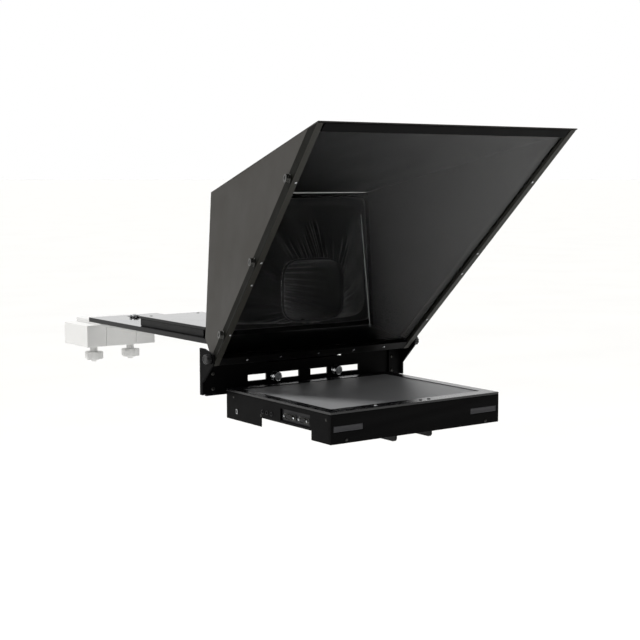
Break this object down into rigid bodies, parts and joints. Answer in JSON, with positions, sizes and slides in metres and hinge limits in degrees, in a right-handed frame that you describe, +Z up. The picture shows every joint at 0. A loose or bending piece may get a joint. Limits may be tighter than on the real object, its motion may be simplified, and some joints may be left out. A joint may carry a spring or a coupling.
{
  "type": "teleprompter",
  "caption": "Studio teleprompter: flat monitor below a tilted beam splitter in a flared black hood with lens shroud, on a long camera base plate with counterweight.",
  "frame": {"origin": "middle of the underside of the tripod plate, where a tripod head bolts on", "axes": "+Y runs back along the base plate towards the camera operator, +X to the right as the speaker sees the screen, +Z up"},
  "size_m": [0.5666, 1.3152, 0.5423],
  "materials": {
    "black_anodised_aluminium": "bead blasted and hard anodised black, satin",
    "black_powder_coated_steel": "fine textured black powder coat",
    "black_abs": "moulded black ABS, fine spark texture",
    "hood_board": "matt black warm-tinted plastic sheet with a fine grain",
    "shroud_cloth": "black woven light-tight cloth, gathered in folds",
    "chromed_steel": "bright nickel-chrome plate, knurled grips",
    "pale_grey_enamel": "pale grey smooth enamel",
    "screen_glass": "glossy dark grey display glass",
    "beam_splitter_glass": "part-mirrored clear glass sheet",
    "lcd_module": "mill finish aluminium back of a display module",
    "circuit_board": "green solder mask",
    "socket_steel": "tinned steel socket shells"
  },
  "bodies": {
    "base": {"tripod_plate": "black_anodised_aluminium", "base_plate": "black_anodised_aluminium", "front_spacer": "black_powder_coated_steel", "bulkhead": "black_powder_coated_steel", "hinge_ear_left": "black_powder_coated_steel", "hinge_ear_right": "black_powder_coated_steel", "riser_rail_left": "black_anodised_aluminium", "riser_rail_right": "black_anodised_aluminium"},
    "hood": {"glass_rail_left": "black_anodised_aluminium", "glass_rail_right": "black_anodised_aluminium", "glass_rail_bottom": "black_anodised_aluminium", "glass_rail_top": "black_anodised_aluminium", "beam_splitter_glass": "beam_splitter_glass", "hood_sheet_left": "hood_board", "hood_sheet_right": "hood_board", "hood_sheet_roof": "hood_board", "hood_sheet_floor": "hood_board", "rear_frame": "black_powder_coated_steel", "lens_shroud": "shroud_cloth"},
    "monitor": {"support_arm_left": "black_anodised_aluminium", "support_arm_right": "black_anodised_aluminium", "clamp_washer_left": "chromed_steel", "clamp_washer_right": "chromed_steel", "monitor_casing": "black_powder_coated_steel", "monitor_floor": "black_powder_coated_steel", "front_fascia": "black_powder_coated_steel", "top_bezel": "black_abs", "screen_glass": "screen_glass", "lcd_panel": "lcd_module", "driver_board": "circuit_board", "socket_panel": "socket_steel", "video_socket": "socket_steel", "data_socket": "socket_steel"},
    "camera_slide": {"camera_plate": "black_anodised_aluminium", "plate_lock_block": "black_anodised_aluminium"},
    "weights": {"weight_carriage": "pale_grey_enamel", "carriage_bolt": "chromed_steel", "counterweight_left": "pale_grey_enamel", "counterweight_middle": "pale_grey_enamel", "counterweight_right": "pale_grey_enamel"},
    "hinge_knob_left": {"hinge_knob_left": "black_abs"},
    "clamp_screw_left": {"clamp_screw_left": "chromed_steel"},
    "hood_screw_left_1": {"hood_screw_left_1": "chromed_steel"},
    "hood_screw_left_2": {"hood_screw_left_2": "chromed_steel"},
    "hood_screw_left_3": {"hood_screw_left_3": "chromed_steel"},
    "weight_knob_left": {"weight_knob_left": "pale_grey_enamel"},
    "hinge_knob_right": {"hinge_knob_right": "black_abs"},
    "clamp_screw_right": {"clamp_screw_right": "chromed_steel"},
    "hood_screw_right_1": {"hood_screw_right_1": "chromed_steel"},
    "hood_screw_right_2": {"hood_screw_right_2": "chromed_steel"},
    "hood_screw_right_3": {"hood_screw_right_3": "chromed_steel"},
    "weight_knob_right": {"weight_knob_right": "pale_grey_enamel"},
    "camera_screw": {"camera_screw": "chromed_steel"},
    "plate_lock_knob": {"plate_lock_knob": "black_abs"},
    "power_button": {"power_button": "black_abs"},
    "menu_button": {"menu_button": "black_abs"},
    "input_button": {"input_button": "black_abs"}
  },
  "joints": [
    {"name": "hood_tilt", "type": "hinge", "parent": "base", "child": "hood", "pos_m": [0, -0.32653, 0.01703], "axis": [1, 0, 0], "range_deg": [-3, 45]},
    {"name": "monitor_shift", "type": "slide", "parent": "base", "child": "monitor", "axis": [1, 0, 0], "range_m": [-0.025, 0.025]},
    {"name": "camera_plate_slide", "type": "slide", "parent": "base", "child": "camera_slide", "axis": [0, 1, 0], "range_m": [-0.035, 0.035]},
    {"name": "weight_slide", "type": "slide", "parent": "base", "child": "weights", "axis": [0, 1, 0], "range_m": [-0.15, 0]},
    {"name": "hinge_knob_left_spin", "type": "hinge", "parent": "base", "child": "hinge_knob_left", "pos_m": [-0.236, -0.32653, 0.01703], "axis": [-1, 0, 0], "continuous": true},
    {"name": "clamp_screw_left_spin", "type": "hinge", "parent": "monitor", "child": "clamp_screw_left", "pos_m": [-0.072, -0.295, -0.0317], "axis": [0, -1, 0], "continuous": true},
    {"name": "hood_screw_left_1_spin", "type": "hinge", "parent": "hood", "child": "hood_screw_left_1", "pos_m": [-0.23453, -0.36804, 0.06447], "axis": [-0.9708, 0.2233, 0.0874], "continuous": true},
    {"name": "hood_screw_left_2_spin", "type": "hinge", "parent": "hood", "child": "hood_screw_left_2", "pos_m": [-0.25156, -0.49557, 0.20123], "axis": [-0.9708, 0.2233, 0.0874], "continuous": true},
    {"name": "hood_screw_left_3_spin", "type": "hinge", "parent": "hood", "child": "hood_screw_left_3", "pos_m": [-0.26913, -0.6272, 0.34239], "axis": [-0.9708, 0.2233, 0.0874], "continuous": true},
    {"name": "weight_knob_left_spin", "type": "hinge", "parent": "weights", "child": "weight_knob_left", "pos_m": [-0.049, 0.52, -0.0617], "axis": [0, 0, 1], "continuous": true},
    {"name": "hinge_knob_right_spin", "type": "hinge", "parent": "base", "child": "hinge_knob_right", "pos_m": [0.236, -0.32653, 0.01703], "axis": [1, 0, 0], "continuous": true},
    {"name": "clamp_screw_right_spin", "type": "hinge", "parent": "monitor", "child": "clamp_screw_right", "pos_m": [0.072, -0.295, -0.0317], "axis": [0, -1, 0], "continuous": true},
    {"name": "hood_screw_right_1_spin", "type": "hinge", "parent": "hood", "child": "hood_screw_right_1", "pos_m": [0.23453, -0.36804, 0.06447], "axis": [0.9708, 0.2233, 0.0874], "continuous": true},
    {"name": "hood_screw_right_2_spin", "type": "hinge", "parent": "hood", "child": "hood_screw_right_2", "pos_m": [0.25156, -0.49557, 0.20123], "axis": [0.9708, 0.2233, 0.0874], "continuous": true},
    {"name": "hood_screw_right_3_spin", "type": "hinge", "parent": "hood", "child": "hood_screw_right_3", "pos_m": [0.26913, -0.6272, 0.34239], "axis": [0.9708, 0.2233, 0.0874], "continuous": true},
    {"name": "weight_knob_right_spin", "type": "hinge", "parent": "weights", "child": "weight_knob_right", "pos_m": [0.049, 0.52, -0.0617], "axis": [0, 0, 1], "continuous": true},
    {"name": "camera_screw_spin", "type": "hinge", "parent": "camera_slide", "child": "camera_screw", "pos_m": [0, 0.02, 0.0363], "axis": [0, 0, 1], "continuous": true},
    {"name": "plate_lock_knob_spin", "type": "hinge", "parent": "camera_slide", "child": "plate_lock_knob", "pos_m": [0.087, 0.094, 0.0271], "axis": [1, 0, 0], "continuous": true},
    {"name": "power_button_press", "type": "slide", "parent": "monitor", "child": "power_button", "axis": [0, 0, -1], "range_m": [0, 0.0008], "stiffness_N_per_m": 400, "springref_m": -0.0006},
    {"name": "menu_button_press", "type": "slide", "parent": "monitor", "child": "menu_button", "axis": [0, 0, -1], "range_m": [0, 0.0008], "stiffness_N_per_m": 400, "springref_m": -0.0006},
    {"name": "input_button_press", "type": "slide", "parent": "monitor", "child": "input_button", "axis": [0, 0, -1], "range_m": [0, 0.0008], "stiffness_N_per_m": 400, "springref_m": -0.0006}
  ]
}
